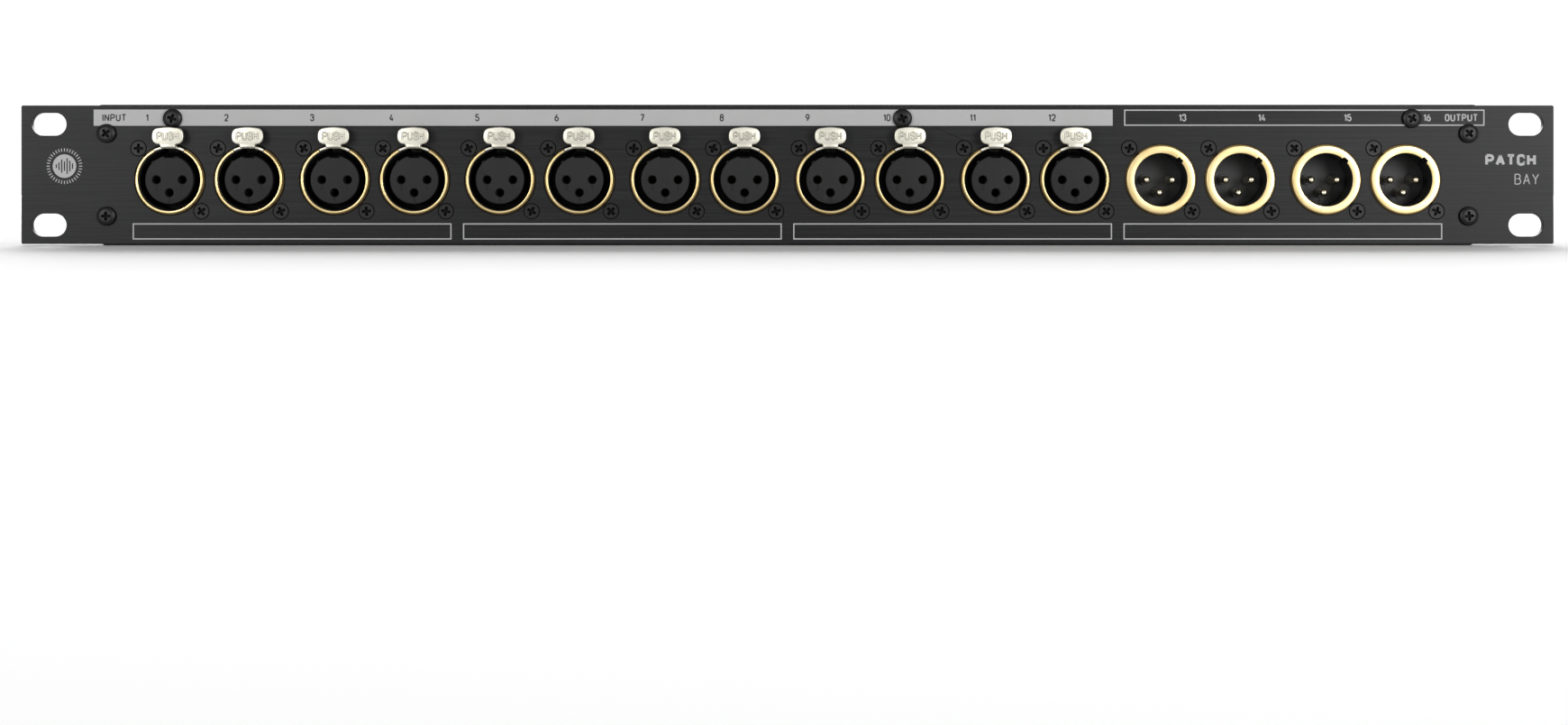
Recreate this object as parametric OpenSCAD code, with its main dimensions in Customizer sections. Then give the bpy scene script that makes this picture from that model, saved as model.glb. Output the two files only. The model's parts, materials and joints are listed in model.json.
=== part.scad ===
// Audio patch bay, one rack unit high, with sixteen 3-pin connectors in front and sixteen behind.
// Millimetres. The origin is the centre of the four rack slots, on the rear face of the front panel.
// +X is to the right for a viewer in front, +Y goes into the rack and +Z is up.

/* [Front panel] */
// Width of the front panel
panel_w = 482.6; // [482:0.1:483]
// Height of the front panel
panel_h = 43.6; // [43:0.1:44]
// Thickness of the front panel
panel_t = 3; // [2.5:0.1:3.2]
// Distance between the left and right rack slots
slot_spacing_x = 465.1; // [464:0.1:466]
// Distance between the upper and lower rack slots
slot_spacing_z = 31.75; // [31.5:0.05:32]
// Length of a rack slot from end to end
slot_length = 10.9; // [8:0.1:11]
// Height of a rack slot
slot_height = 7.2; // [6.5:0.1:7.4]

/* [Chassis] */
// Outer width of the chassis
case_w = 437; // [434:0.5:440]
// Depth of the chassis behind the front panel
case_d = 100; // [96:1:120]
// Height of the cover's top face above the rack slots' centre
case_top = 22.1; // [21.9:0.1:22.2]
// Depth of the tray's bottom face below the rack slots' centre
case_bottom = 22.3; // [22.1:0.1:22.5]
// Thickness of the steel sheet
sheet_t = 1.2; // [1:0.1:1.4]
// Outer radius of the sheet's bends
bend_r = 2.2; // [1.6:0.1:3]
// Thickness of the rear panel
rear_t = 2; // [1.5:0.1:2.5]

/* [Connector layout] */
// Distance between the centres of two groups of four connectors
group_pitch = 104; // [104:0.5:106]
// Distance from the outer to the inner connector of a pair
pair_pitch = 25; // [25:0.1:25.6]
// Distance between the two inner connectors of a group
middle_pitch = 27; // [26:0.1:28]
// Height of the connector row, from the rack slots' centre
row_z = -1.6; // [-2:0.1:-1]
// Sideways and upright distance from a connector's axis to each of its two screws
screw_offset = 9.9; // [9.8:0.05:10]

/* [Connector] */
// Radius of the hole in the panels
hole_r = 11.3; // [11.2:0.05:11.5]
// Width of the square mounting flange
flange_w = 24.6; // [24:0.1:24.8]
// Thickness of the mounting flange
flange_t = 2.6; // [2:0.1:3]
// Depth of the housing behind its mounting face
housing_depth = 17; // [16.5:0.1:18]
// Outer radius of the housing's sleeve
sleeve_r = 10.5; // [10.4:0.05:10.6]
// Radius of the space for a plug's shell in a female connector
socket_r = 9.7; // [9.6:0.05:9.8]
// Radius of the socket insert
core_r = 7.62; // [7.5:0.02:7.7]
// Radius of the space for a plug in a male connector
cavity_r = 8.36; // [8.2:0.02:8.5]
// Distance from a connector's axis to each contact
contact_offset = 4.06; // [4:0.01:4.1]
// Radius of a contact pin
pin_r = 1.19; // [1.15:0.01:1.2]
// Angle of the key from the top of the connector
key_angle = 44; // [40:1:48]

/* [Latch] */
// Width of the push tab
tab_w = 10; // [9.4:0.1:10.4]
// Height of the push tab
tab_h = 5.55; // [5:0.05:6]
// Height of the push tab's lower edge above the connector's axis
tab_base = 11.15; // [11:0.05:11.4]
// Thickness of the push tab
tab_t = 1.7; // [1.4:0.1:1.9]
// Distance of the push tab's rear face from the mounting face
tab_gap = 5.5; // [5.3:0.1:5.8]
// Height of the hinge pin above the connector's axis
pivot_up = 10.9; // [10.8:0.05:11]
// Depth of the hinge pin behind the mounting face
pivot_depth = 13; // [12:0.5:14]
// Radius of the hinge pin
hinge_pin_r = 0.8; // [0.7:0.05:0.9]
// Clearance between the hinge pin and the latch
hinge_clearance = 0.05; // [0.03:0.01:0.08]

/* [Boards] */
// Width of a patch board
board_w = 100; // [98:0.5:102]
// Thickness of a patch board
board_t = 1.6; // [1.2:0.1:1.6]
// Height of the standoffs under the boards
standoff_h = 4.5; // [4.2:0.1:4.6]

/* [Hidden] */
$fn = 72;
eps = 0.01;
inputs = 12;
connectors = 16;

function channel(i) = str(i < 10 ? "0" : "", i);
input_names = [for (i = [1:inputs]) str("input_housing_", channel(i))];
output_names = [for (i = [inputs + 1:connectors]) str("output_housing_", channel(i))];
input_latch_names = [for (i = [1:inputs]) str("input_latch_", channel(i))];
rear_latch_names = [for (i = [inputs + 1:connectors]) str("rear_latch_", channel(i))];
board_names = [for (g = [1:4]) str("patch_board_", g)];

// Places of the connectors from left to right, numbered from 1
group_offsets = [-middle_pitch / 2 - pair_pitch, -middle_pitch / 2, middle_pitch / 2,
                 middle_pitch / 2 + pair_pitch];
function group_x(g) = (g - 1.5) * group_pitch;
function connector_x(i) = group_x(floor((i - 1) / 4)) + group_offsets[(i - 1) % 4];
fronts_female = [for (i = [1:inputs]) i];
fronts_male = [for (i = [inputs + 1:connectors]) i];
screw_signs = [-1, 1];

// Chassis
tray_w = case_w - 2 * sheet_t;
floor_z = -case_bottom + sheet_t;
ceiling_z = case_top - sheet_t;
rear_y = case_d - rear_t;
lip_h = 4.6;
flange_inner_x = 207.4;
cover_lip_x = 207;
cover_lip_z = 14;
side_screw_x = 214.4;
side_screw_z = 13;
rear_side_screw_x = 211.6;
top_screw_z = 17.7;
top_screw_xs = [-193.6, 36.2, 196.5];
rear_top_screw_xs = [-group_pitch, 0, group_pitch];
cover_screw_ys = [22, 50, 78];
cover_screw_z = 8;

// Screws, all with M3 threads
thread_r = 1.5;
clearance_r = 1.65;
pilot_r = 1.5;
flat_head_r = 2.55;
flat_head_h = 1.05;
head_clearance = 0.08;
raised_head_r = 3;
raised_head_h = 1.5;
small_head_r = 2.75;
small_head_h = 1.6;
recess_w = 0.62;
recess_d = 0.9;
panel_screw_length = 6;
connector_screw_length = 8;
cover_screw_length = 4;
board_screw_length = 4;

// Connectors, measured along the axis from the mounting face, positive towards the plug
mouth_z = 4.5;
ring_seat_z = 2.9;
socket_floor_z = -14;
core_face_z = 4.1;
ring_gap_half = 28;
ring_r = 10.98;
ring_in_r = 9.8;
bead_r = 0.59;
boss_r = 2.2;
boss_z = -7;
foot_w = 18;
foot_bottom = -13.3;
corner_r = 2;
arm_slot_w = 5.3;
arm_slot_top = 12.7;
male_face_z = 4.3;
male_face_t = 0.7;
male_face_r = 10.75;
male_step_r = 11.12;
male_step_z = 3.2;
male_floor_z = -10;
male_base_z = -14;
key_w = 2;
key_r = 9.2;
contact_hole_r = 1.35;
socket_wall_r = 1.75;
pin_tip_z = 0.8;
tail_r = 0.4;
tail_hole_r = 0.55;
tail_end = -16.2;
side_tail_z = -19;
low_tail_z = -21.5;
contact_points = [[-contact_offset, 0], [contact_offset, 0], [0, -contact_offset]];

// Latch
arm_w = 4.4;
arm_bottom = 9.9;
arm_top = 10.85;
arm_end = pivot_depth - 2;
stem_w = 4.75;
stem_bottom = 10.1;
shoulder_in_r = 10.15;
shoulder_out_r = 10.68;
shoulder_half = 26.5;
shoulder_back = 3.3;
shoulder_front = 4.6;
nose_w = 3.2;
nose_bottom = 8.75;
nose_front = -1;
nose_back = -4.5;
eye_r = 1.3;
eye_in = 1.35;
eye_out = 2.2;
lug_in = 2.4;
lug_out = 4.4;
lug_bottom = 7.5;
lug_half = 1.8;
spring_wire_r = 0.22;
spring_mean_r = 1.07;
spring_xs = [-0.86, -0.43, 0, 0.43, 0.86];
spring_leg = 2.6;
spring_leg_r = 0.15;
spring_leg_angle = 12;

// Boards
board_top = floor_z + standoff_h + board_t;
board_front = 4;
board_back = rear_y - 4;
board_hole_x = 44;
board_hole_ys = [32, 66];
standoff_r = 2.9;

module rounded_slab(w, h, t, r) {
    linear_extrude(t) {
        square([w - 2 * r, h], center = true);
        square([w, h - 2 * r], center = true);
        for (x = [-1, 1], y = [-1, 1]) translate([x * (w / 2 - r), y * (h / 2 - r)]) circle(r);
    }
}

// A connector's own frame has +Z out towards the plug, +Y up and its mounting face at z = 0
module at_front(i) {
    translate([connector_x(i), 0, row_z]) rotate([90, 0, 0]) children();
}

module at_rear(i) {
    translate([connector_x(i), rear_y, row_z]) rotate([90, 0, 180]) children();
}

module along_y(x, y, z) {
    translate([x, y, z]) rotate([-90, 0, 0]) children();
}

module connector_screw_places() {
    for (s = screw_signs) translate([s * screw_offset, -s * screw_offset, 0]) children();
}

module cross_recess(top_z) {
    for (a = [0, 90]) rotate([0, 0, a])
        translate([-1.45, -recess_w / 2, top_z - recess_d]) cube([2.9, recess_w, recess_d + 1]);
}

// Countersunk screw with its flat head's face at z = 0 and its shank below
module flat_screw(length) {
    difference() {
        union() {
            translate([0, 0, -flat_head_h]) cylinder(h = flat_head_h, r1 = thread_r, r2 = flat_head_r);
            translate([0, 0, -length]) cylinder(h = length - flat_head_h + eps, r = thread_r);
        }
        cross_recess(0);
    }
}

// Raised-head screw with the underside of its head at z = 0 and its shank below
module raised_screw(length, head_r, head_h) {
    crown_r = (head_r * head_r + head_h * head_h) / (2 * head_h) + 2;
    difference() {
        union() {
            intersection() {
                cylinder(h = head_h, r = head_r);
                translate([0, 0, head_h - crown_r]) sphere(crown_r);
            }
            translate([0, 0, -length]) cylinder(h = length + eps, r = thread_r);
        }
        cross_recess(head_h);
    }
}

module panel_connector_holes(t, female) {
    translate([0, 0, -eps]) cylinder(h = t + 2 * eps, r = hole_r);
    if (female) translate([-arm_slot_w / 2, 0, -eps]) cube([arm_slot_w, arm_slot_top, t + 2 * eps]);
    connector_screw_places() {
        translate([0, 0, -eps]) cylinder(h = t + 2 * eps, r = clearance_r);
        translate([0, 0, t - flat_head_h - head_clearance])
            cylinder(h = flat_head_h + head_clearance + eps, r1 = clearance_r,
                     r2 = flat_head_r + head_clearance);
    }
}

// Screw places of a panel, in a frame whose +Y points down: four at its sides and a row along its top
module screw_pattern(side_x, top_xs) {
    for (x = [-1, 1], z = [-1, 1]) translate([x * side_x, z * side_screw_z, 0]) children();
    for (x = top_xs) translate([x, -top_screw_z, 0]) children();
}

module rack_slot(t) {
    straight = slot_length - slot_height;
    for (s = [-1, 1]) translate([s * straight / 2, 0, 0]) cylinder(h = t, r = slot_height / 2);
    translate([-straight / 2, -slot_height / 2, 0]) cube([straight, slot_height, t]);
}

module front_panel() {
    color("#26272a") difference() {
        along_y(0, -panel_t, 0) rounded_slab(panel_w, panel_h, panel_t, 0.5);
        for (x = [-1, 1], z = [-1, 1]) along_y(x * slot_spacing_x / 2, -panel_t - eps, z * slot_spacing_z / 2)
            rack_slot(panel_t + 2 * eps);
        along_y(0, -panel_t - eps, 0)
            screw_pattern(side_screw_x, top_screw_xs) cylinder(h = panel_t + 2 * eps, r = clearance_r);
        for (i = fronts_female) at_front(i) panel_connector_holes(panel_t, true);
        for (i = fronts_male) at_front(i) panel_connector_holes(panel_t, false);
    }
}

module rear_panel() {
    color("#1d1e20") difference() {
        along_y(0, rear_y, (case_top - case_bottom) / 2)
            rounded_slab(case_w, case_top + case_bottom - 0.2, rear_t, bend_r);
        along_y(0, rear_y - eps, 0) screw_pattern(rear_side_screw_x, rear_top_screw_xs)
            cylinder(h = rear_t + 2 * eps, r = clearance_r);
        for (i = fronts_female) at_rear(i) panel_connector_holes(rear_t, false);
        for (i = fronts_male) at_rear(i) panel_connector_holes(rear_t, true);
    }
}

module chassis_tray() {
    wall_top = ceiling_z - (bend_r - sheet_t) - 0.1;
    side_h = wall_top + case_bottom;
    inner_w = tray_w - 2 * sheet_t;
    color("#202124") difference() {
        union() {
            difference() {
                along_y(0, 0, wall_top) rounded_slab(tray_w, 2 * side_h, rear_y, bend_r);
                along_y(0, -eps, wall_top)
                    rounded_slab(inner_w, 2 * (side_h - sheet_t), rear_y + 2 * eps, bend_r - sheet_t);
                translate([-case_w, -eps, wall_top]) cube([2 * case_w, rear_y + 2 * eps, 2 * side_h]);
            }
            for (y = [0, rear_y - sheet_t]) {
                translate([-inner_w / 2, y, floor_z - eps]) cube([inner_w, sheet_t, lip_h]);
                for (s = [-1, 1]) translate([s > 0 ? flange_inner_x : -inner_w / 2, y, floor_z - eps])
                    cube([inner_w / 2 - flange_inner_x, sheet_t, wall_top - floor_z + eps]);
            }
        }
        along_y(0, -eps, 0) screw_pattern(side_screw_x, []) cylinder(h = sheet_t + 2 * eps, r = pilot_r);
        along_y(0, rear_y - sheet_t - eps, 0) screw_pattern(rear_side_screw_x, [])
            cylinder(h = sheet_t + 2 * eps, r = pilot_r);
        for (y = cover_screw_ys) translate([-case_w / 2, y, cover_screw_z]) rotate([0, 90, 0])
            cylinder(h = case_w, r = pilot_r);
    }
}

module top_cover() {
    skirt_bottom = -case_bottom + bend_r + 0.5;
    height = case_top - skirt_bottom;
    lip_size = [2 * cover_lip_x, sheet_t, ceiling_z - cover_lip_z + eps];
    color("#202124") difference() {
        union() {
            difference() {
                along_y(0, 0, skirt_bottom) rounded_slab(case_w, 2 * height, rear_y, bend_r);
                along_y(0, -eps, skirt_bottom)
                    rounded_slab(tray_w, 2 * (height - sheet_t), rear_y + 2 * eps, bend_r - sheet_t);
                translate([-case_w, -eps, skirt_bottom - 2 * height])
                    cube([2 * case_w, rear_y + 2 * eps, 2 * height]);
            }
            for (y = [0, rear_y - sheet_t]) translate([-cover_lip_x, y, cover_lip_z]) cube(lip_size);
        }
        for (x = top_screw_xs) along_y(x, -eps, top_screw_z) cylinder(h = sheet_t + 2 * eps, r = pilot_r);
        for (x = rear_top_screw_xs) along_y(x, rear_y - sheet_t - eps, top_screw_z)
            cylinder(h = sheet_t + 2 * eps, r = pilot_r);
        for (y = cover_screw_ys) translate([-case_w, y, cover_screw_z]) rotate([0, 90, 0])
            cylinder(h = 2 * case_w, r = clearance_r);
    }
}

// Patch boards, one for each group of four channels
module patch_board(g) {
    color("#1f5a34") difference() {
        translate([group_x(g - 1) - board_w / 2, board_front, board_top - board_t])
            cube([board_w, board_back - board_front, board_t]);
        for (x = [-1, 1], y = board_hole_ys)
            translate([group_x(g - 1) + x * board_hole_x, y, board_top - board_t - eps])
                cylinder(h = board_t + 2 * eps, r = clearance_r);
        for (i = [4 * g - 3:4 * g]) {
            at_front(i) tail_places() cylinder(h = 8, r = tail_hole_r, center = true);
            at_rear(i) tail_places() cylinder(h = 8, r = tail_hole_r, center = true);
        }
    }
}

module tail_places() {
    for (p = contact_points) translate([p[0], tail_end, p[1] < 0 ? low_tail_z : side_tail_z])
        rotate([90, 0, 0]) children();
}

module board_mount_places() {
    for (g = [0:3], x = [-1, 1], y = board_hole_ys)
        translate([group_x(g) + x * board_hole_x, y, 0]) children();
}

module board_standoffs() {
    color("#b99a55") board_mount_places() translate([0, 0, floor_z]) difference() {
        cylinder(h = standoff_h, r = standoff_r, $fn = 6);
        translate([0, 0, 0.8]) cylinder(h = standoff_h, r = pilot_r);
    }
}

module board_screws() {
    color("#b8b9ba") board_mount_places() translate([0, 0, board_top])
        raised_screw(board_screw_length, small_head_r, small_head_h);
}

module front_panel_screws() {
    color("#17181a") along_y(0, -panel_t, 0) screw_pattern(side_screw_x, top_screw_xs)
        rotate([180, 0, 0]) raised_screw(panel_screw_length, raised_head_r, raised_head_h);
}

module rear_panel_screws() {
    color("#17181a") along_y(0, case_d, 0) screw_pattern(rear_side_screw_x, rear_top_screw_xs)
        raised_screw(panel_screw_length, raised_head_r, raised_head_h);
}

module cover_screws() {
    color("#17181a") for (s = [-1, 1], y = cover_screw_ys) translate([s * case_w / 2, y, cover_screw_z])
        rotate([0, s * 90, 0]) raised_screw(cover_screw_length, small_head_r, small_head_h);
}

module front_connector_screws() {
    color("#17181a") for (i = [1:connectors]) at_front(i) connector_screw_places()
        translate([0, 0, panel_t]) flat_screw(connector_screw_length);
}

module rear_connector_screws() {
    color("#17181a") for (i = [1:connectors]) at_rear(i) connector_screw_places()
        translate([0, 0, rear_t]) flat_screw(connector_screw_length);
}

// Flange, screw bosses and foot that every housing has
module housing_body() {
    translate([0, 0, -flange_t]) rounded_slab(flange_w, flange_w, flange_t, corner_r);
    translate([0, 0, -housing_depth]) cylinder(h = housing_depth + ring_seat_z, r = sleeve_r);
    connector_screw_places() translate([0, 0, boss_z]) cylinder(h = -boss_z, r = boss_r);
    translate([-foot_w / 2, foot_bottom, -housing_depth]) cube([foot_w, 6, housing_depth - 4]);
}

module housing_screw_holes() {
    connector_screw_places() translate([0, 0, boss_z + 0.8]) cylinder(h = -boss_z + 1, r = pilot_r);
}

module female_housing() {
    color("#1b1c1e") difference() {
        union() {
            housing_body();
            for (s = [-1, 1]) translate([s > 0 ? lug_in : -lug_out, lug_bottom, -pivot_depth - lug_half])
                cube([lug_out - lug_in, pivot_up + eye_r - lug_bottom, 2 * lug_half]);
        }
        translate([0, 0, -housing_depth - eps]) cylinder(h = housing_depth + mouth_z, r = socket_r);
        translate([-lug_in, 0, -pivot_depth - lug_half - eps])
            cube([2 * lug_in, arm_slot_top + 1, 2 * lug_half + 1]);
        translate([-arm_slot_w / 2, 0, -pivot_depth + lug_half])
            cube([arm_slot_w, arm_slot_top + 1, pivot_depth + mouth_z]);
        translate([-lug_out - eps, pivot_up, -pivot_depth]) rotate([0, 90, 0])
            cylinder(h = 2 * lug_out + 2 * eps, r = hinge_pin_r);
        housing_screw_holes();
    }
}

module key_cut(r_out, z_low, z_high) {
    rotate([0, 0, -key_angle]) translate([-key_w / 2, 0, z_low]) cube([key_w, r_out, z_high - z_low]);
}

module male_housing() {
    color("#1b1c1e") difference() {
        union() {
            housing_body();
            cylinder(h = male_face_z - male_face_t, r = sleeve_r);
        }
        translate([0, 0, -housing_depth - eps]) cylinder(h = housing_depth + mouth_z, r = cavity_r);
        key_cut(key_r, male_floor_z, mouth_z);
        housing_screw_holes();
    }
}

// Gold ring of a female connector: a round bead on a thin skirt, open at the top for the latch
module female_ring() {
    gap_x = 2 * ring_r * sin(ring_gap_half);
    gap_y = 2 * ring_r * cos(ring_gap_half);
    color("#d9b25c") difference() {
        rotate_extrude() {
            translate([ring_r - bead_r, mouth_z - bead_r]) circle(bead_r);
            translate([ring_in_r, ring_seat_z]) square([ring_r - ring_in_r, mouth_z - bead_r - ring_seat_z]);
            translate([ring_in_r + bead_r, mouth_z - bead_r]) circle(bead_r);
            translate([sleeve_r, 0]) square([ring_r - sleeve_r, mouth_z - bead_r]);
        }
        translate([0, 0, -1]) linear_extrude(mouth_z + 2) polygon([[0, 0], [gap_x, gap_y], [-gap_x, gap_y]]);
    }
}

// Gold ring of a male connector: a flat face on a stepped skirt
module male_ring() {
    edge = 0.3;
    color("#d9b25c") difference() {
        rotate_extrude() {
            difference() {
                translate([cavity_r, male_face_z - male_face_t])
                    square([male_face_r - cavity_r, male_face_t]);
                translate([male_face_r - edge, male_face_z - edge]) square(1);
            }
            translate([male_face_r - edge, male_face_z - edge]) circle(edge);
            translate([sleeve_r, male_step_z - eps]) square([male_face_r - sleeve_r, 1]);
            translate([sleeve_r, 0]) square([male_step_r - sleeve_r, male_step_z]);
        }
        key_cut(key_r, male_step_z, mouth_z);
    }
}

module female_insert() {
    color("#2a2b2d") difference() {
        union() {
            translate([0, 0, -housing_depth]) cylinder(h = socket_floor_z + housing_depth, r = socket_r);
            translate([0, 0, socket_floor_z - eps])
                cylinder(h = core_face_z - socket_floor_z + eps, r = core_r);
            rotate([0, 0, key_angle]) translate([-0.6, core_r - 0.4, socket_floor_z - eps])
                cube([1.2, 0.85, core_face_z - 1.2 - socket_floor_z]);
        }
        translate([-nose_w / 2 - 0.2, core_r - 0.7, nose_back - 2])
            cube([nose_w + 0.4, 3, core_face_z - nose_back + 3]);
        for (p = contact_points) translate([p[0], p[1], 0]) {
            translate([0, 0, -1]) cylinder(h = core_face_z + 2, r = contact_hole_r);
            translate([0, 0, -housing_depth - 1]) cylinder(h = housing_depth + eps, r = socket_wall_r);
        }
    }
}

module male_insert() {
    color("#232426") difference() {
        translate([0, 0, male_base_z]) cylinder(h = male_floor_z - male_base_z, r = cavity_r);
        for (p = contact_points) translate([p[0], p[1], male_base_z - 1]) cylinder(h = 8, r = pin_r);
    }
}

// Bent tail from the back of a contact down through the board
module contact_tail(p, start_z) {
    back_z = p[1] < 0 ? low_tail_z : side_tail_z;
    translate([p[0], p[1], back_z]) cylinder(h = start_z - back_z, r = tail_r);
    translate([p[0], p[1], back_z]) sphere(tail_r);
    translate([p[0], tail_end, back_z]) rotate([-90, 0, 0]) cylinder(h = p[1] - tail_end, r = tail_r);
}

module female_contacts() {
    color("#d8d2c0") for (p = contact_points) {
        difference() {
            translate([p[0], p[1], -housing_depth + 0.5])
                cylinder(h = housing_depth - 1.6, r = socket_wall_r);
            translate([p[0], p[1], socket_floor_z + 1]) cylinder(h = housing_depth, r = pin_r + 0.02);
        }
        contact_tail(p, -housing_depth + 0.6);
    }
}

module male_contacts() {
    color("#dcd6c6") for (p = contact_points) {
        translate([p[0], p[1], male_base_z - 0.5])
            cylinder(h = pin_tip_z - pin_r - male_base_z + 0.5, r = pin_r);
        translate([p[0], p[1], pin_tip_z - pin_r]) sphere(pin_r);
        contact_tail(p, male_base_z);
    }
}

module rounded_tab() {
    r = 2;
    crown = 0.35;
    translate([0, tab_base + tab_h / 2, tab_gap]) {
        translate([0, -crown / 2, 0]) rounded_slab(tab_w, tab_h - crown, tab_t, r);
        intersection() {
            translate([0, -34 + tab_h / 2, 0]) cylinder(h = tab_t, r = 34, $fn = 144);
            translate([-tab_w / 2 + r, -tab_h / 2 + 1, 0]) cube([tab_w - 2 * r, tab_h, tab_t]);
        }
    }
}

module latch() {
    arc_x = 2 * shoulder_out_r * sin(shoulder_half);
    arc_y = 2 * shoulder_out_r * cos(shoulder_half);
    color("#d7d3c6") {
        rounded_tab();
        difference() {
            union() {
                translate([-stem_w / 2, stem_bottom, tab_gap])
                    cube([stem_w, tab_base + 1 - stem_bottom, tab_t]);
                translate([-arm_w / 2, arm_bottom, -arm_end])
                    cube([arm_w, arm_top - arm_bottom, arm_end + tab_gap + tab_t / 2]);
                for (s = [-1, 1]) translate([s > 0 ? eye_in : -eye_out, 0, -pivot_depth]) {
                    translate([0, pivot_up, 0]) rotate([0, 90, 0]) cylinder(h = eye_out - eye_in, r = eye_r);
                    translate([0, arm_bottom, 0])
                        cube([eye_out - eye_in, arm_top - arm_bottom, pivot_depth - arm_end + eps]);
                }
                translate([0, 0, shoulder_back]) intersection() {
                    linear_extrude(shoulder_front - shoulder_back) difference() {
                        circle(shoulder_out_r);
                        circle(shoulder_in_r);
                    }
                    linear_extrude(shoulder_front) polygon([[0, 0], [arc_x, arc_y], [-arc_x, arc_y]]);
                }
                translate([-nose_w / 2, 0, 0]) rotate([90, 0, 90]) linear_extrude(nose_w)
                    polygon([[arm_bottom + eps, nose_front], [arm_bottom + eps, nose_back],
                             [nose_bottom, nose_back], [nose_bottom, nose_back + 1]]);
            }
            translate([-lug_out, pivot_up, -pivot_depth]) rotate([0, 90, 0])
                cylinder(h = 2 * lug_out, r = hinge_pin_r + hinge_clearance);
        }
    }
}

module latch_pin() {
    color("#c4c5c6") translate([-lug_out, pivot_up, -pivot_depth]) rotate([0, 90, 0])
        cylinder(h = 2 * lug_out, r = hinge_pin_r);
}

// Torsion spring: a coil round the hinge pin with one leg to the back and one above the latch's arm
module latch_spring() {
    color("#b9babb") translate([0, pivot_up, -pivot_depth]) {
        rotate([0, 90, 0]) rotate_extrude($fn = 48) for (x = spring_xs)
            translate([spring_mean_r, x]) circle(spring_wire_r, $fn = 24);
        translate([spring_xs[0], spring_mean_r, -spring_leg])
            cylinder(h = spring_leg, r = spring_leg_r, $fn = 24);
        translate([spring_xs[4], spring_mean_r, 0]) rotate([spring_leg_angle, 0, 0])
            cylinder(h = spring_leg, r = spring_leg_r, $fn = 24);
    }
}

module all_female_places() {
    for (i = fronts_female) at_front(i) children();
    for (i = fronts_male) at_rear(i) children();
}

module all_male_places() {
    for (i = fronts_male) at_front(i) children();
    for (i = fronts_female) at_rear(i) children();
}

module rear_male_housings() {
    for (i = fronts_female) at_rear(i) male_housing();
}

module rear_female_housings() {
    for (i = fronts_male) at_rear(i) female_housing();
}

front_panel();
chassis_tray();
top_cover();
rear_panel();
board_standoffs();
board_screws();
front_panel_screws();
front_connector_screws();
rear_connector_screws();
cover_screws();
rear_panel_screws();
rear_male_housings();
rear_female_housings();
all_female_places() female_ring();  // female_rings
all_male_places() male_ring();  // male_rings
all_female_places() female_insert();  // female_inserts
all_male_places() male_insert();  // male_inserts
all_female_places() female_contacts();  // socket_contacts
all_male_places() male_contacts();  // pin_contacts
all_female_places() latch_pin();  // latch_pins
all_female_places() latch_spring();  // latch_springs
for (g = [1:4]) patch_board(g);
for (i = fronts_female) at_front(i) female_housing();
for (i = fronts_male) at_front(i) male_housing();
for (i = fronts_female) at_front(i) latch();
for (i = fronts_male) at_rear(i) latch();
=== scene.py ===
# %% [markdown]
# # An audio patch bay, one rack unit high
#
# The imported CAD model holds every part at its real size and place. This notebook puts the looks around it:
# turned gold rings, push latches, moulded inserts, cross-recess screws, the printed legend and a finish for
# every surface. Each new piece takes its place from the CAD model, so nothing is fitted by eye.

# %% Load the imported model
import json
import math

import bmesh
import bpy
from mathutils import Matrix, Vector

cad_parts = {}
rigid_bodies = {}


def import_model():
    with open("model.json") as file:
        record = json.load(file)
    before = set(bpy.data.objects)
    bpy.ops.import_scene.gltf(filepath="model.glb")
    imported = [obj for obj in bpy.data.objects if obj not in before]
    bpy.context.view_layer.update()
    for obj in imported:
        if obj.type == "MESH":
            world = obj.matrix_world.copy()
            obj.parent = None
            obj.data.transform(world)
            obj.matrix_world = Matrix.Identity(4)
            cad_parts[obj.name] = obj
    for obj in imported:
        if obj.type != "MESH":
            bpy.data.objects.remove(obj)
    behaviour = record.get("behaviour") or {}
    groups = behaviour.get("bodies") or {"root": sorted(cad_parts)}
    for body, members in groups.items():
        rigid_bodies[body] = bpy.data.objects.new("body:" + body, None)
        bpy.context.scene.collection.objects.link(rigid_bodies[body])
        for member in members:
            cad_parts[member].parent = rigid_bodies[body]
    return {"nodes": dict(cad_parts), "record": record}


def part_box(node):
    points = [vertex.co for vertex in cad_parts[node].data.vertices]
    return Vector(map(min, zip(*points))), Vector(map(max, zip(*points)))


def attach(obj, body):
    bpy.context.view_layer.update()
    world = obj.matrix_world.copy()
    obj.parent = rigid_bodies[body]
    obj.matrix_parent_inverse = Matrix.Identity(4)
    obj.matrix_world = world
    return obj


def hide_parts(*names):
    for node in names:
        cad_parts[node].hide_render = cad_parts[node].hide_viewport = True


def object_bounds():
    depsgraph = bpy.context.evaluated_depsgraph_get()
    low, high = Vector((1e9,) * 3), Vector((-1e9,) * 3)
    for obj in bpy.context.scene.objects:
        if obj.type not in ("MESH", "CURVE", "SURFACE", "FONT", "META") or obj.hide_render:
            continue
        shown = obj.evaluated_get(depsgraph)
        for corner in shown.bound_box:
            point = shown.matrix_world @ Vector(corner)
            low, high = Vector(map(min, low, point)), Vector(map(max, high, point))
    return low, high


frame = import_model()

MM = 0.001
CAD_LOW, CAD_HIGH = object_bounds()
RECORD = frame["record"]
NODES = frame["nodes"]
print("CAD box", [round(v / MM, 1) for v in (CAD_HIGH - CAD_LOW)], "mm,", len(NODES), "nodes")

# %% [markdown]
# ## Places
#
# A connector is drawn once, in a frame of its own: +Z points out towards the plug, +Y is up, and its mounting
# face is at z = 0. One matrix then carries it to a channel in front, or to the matching channel behind. The
# sockets' mounts in the record say where the sixteen channels are.

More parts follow.
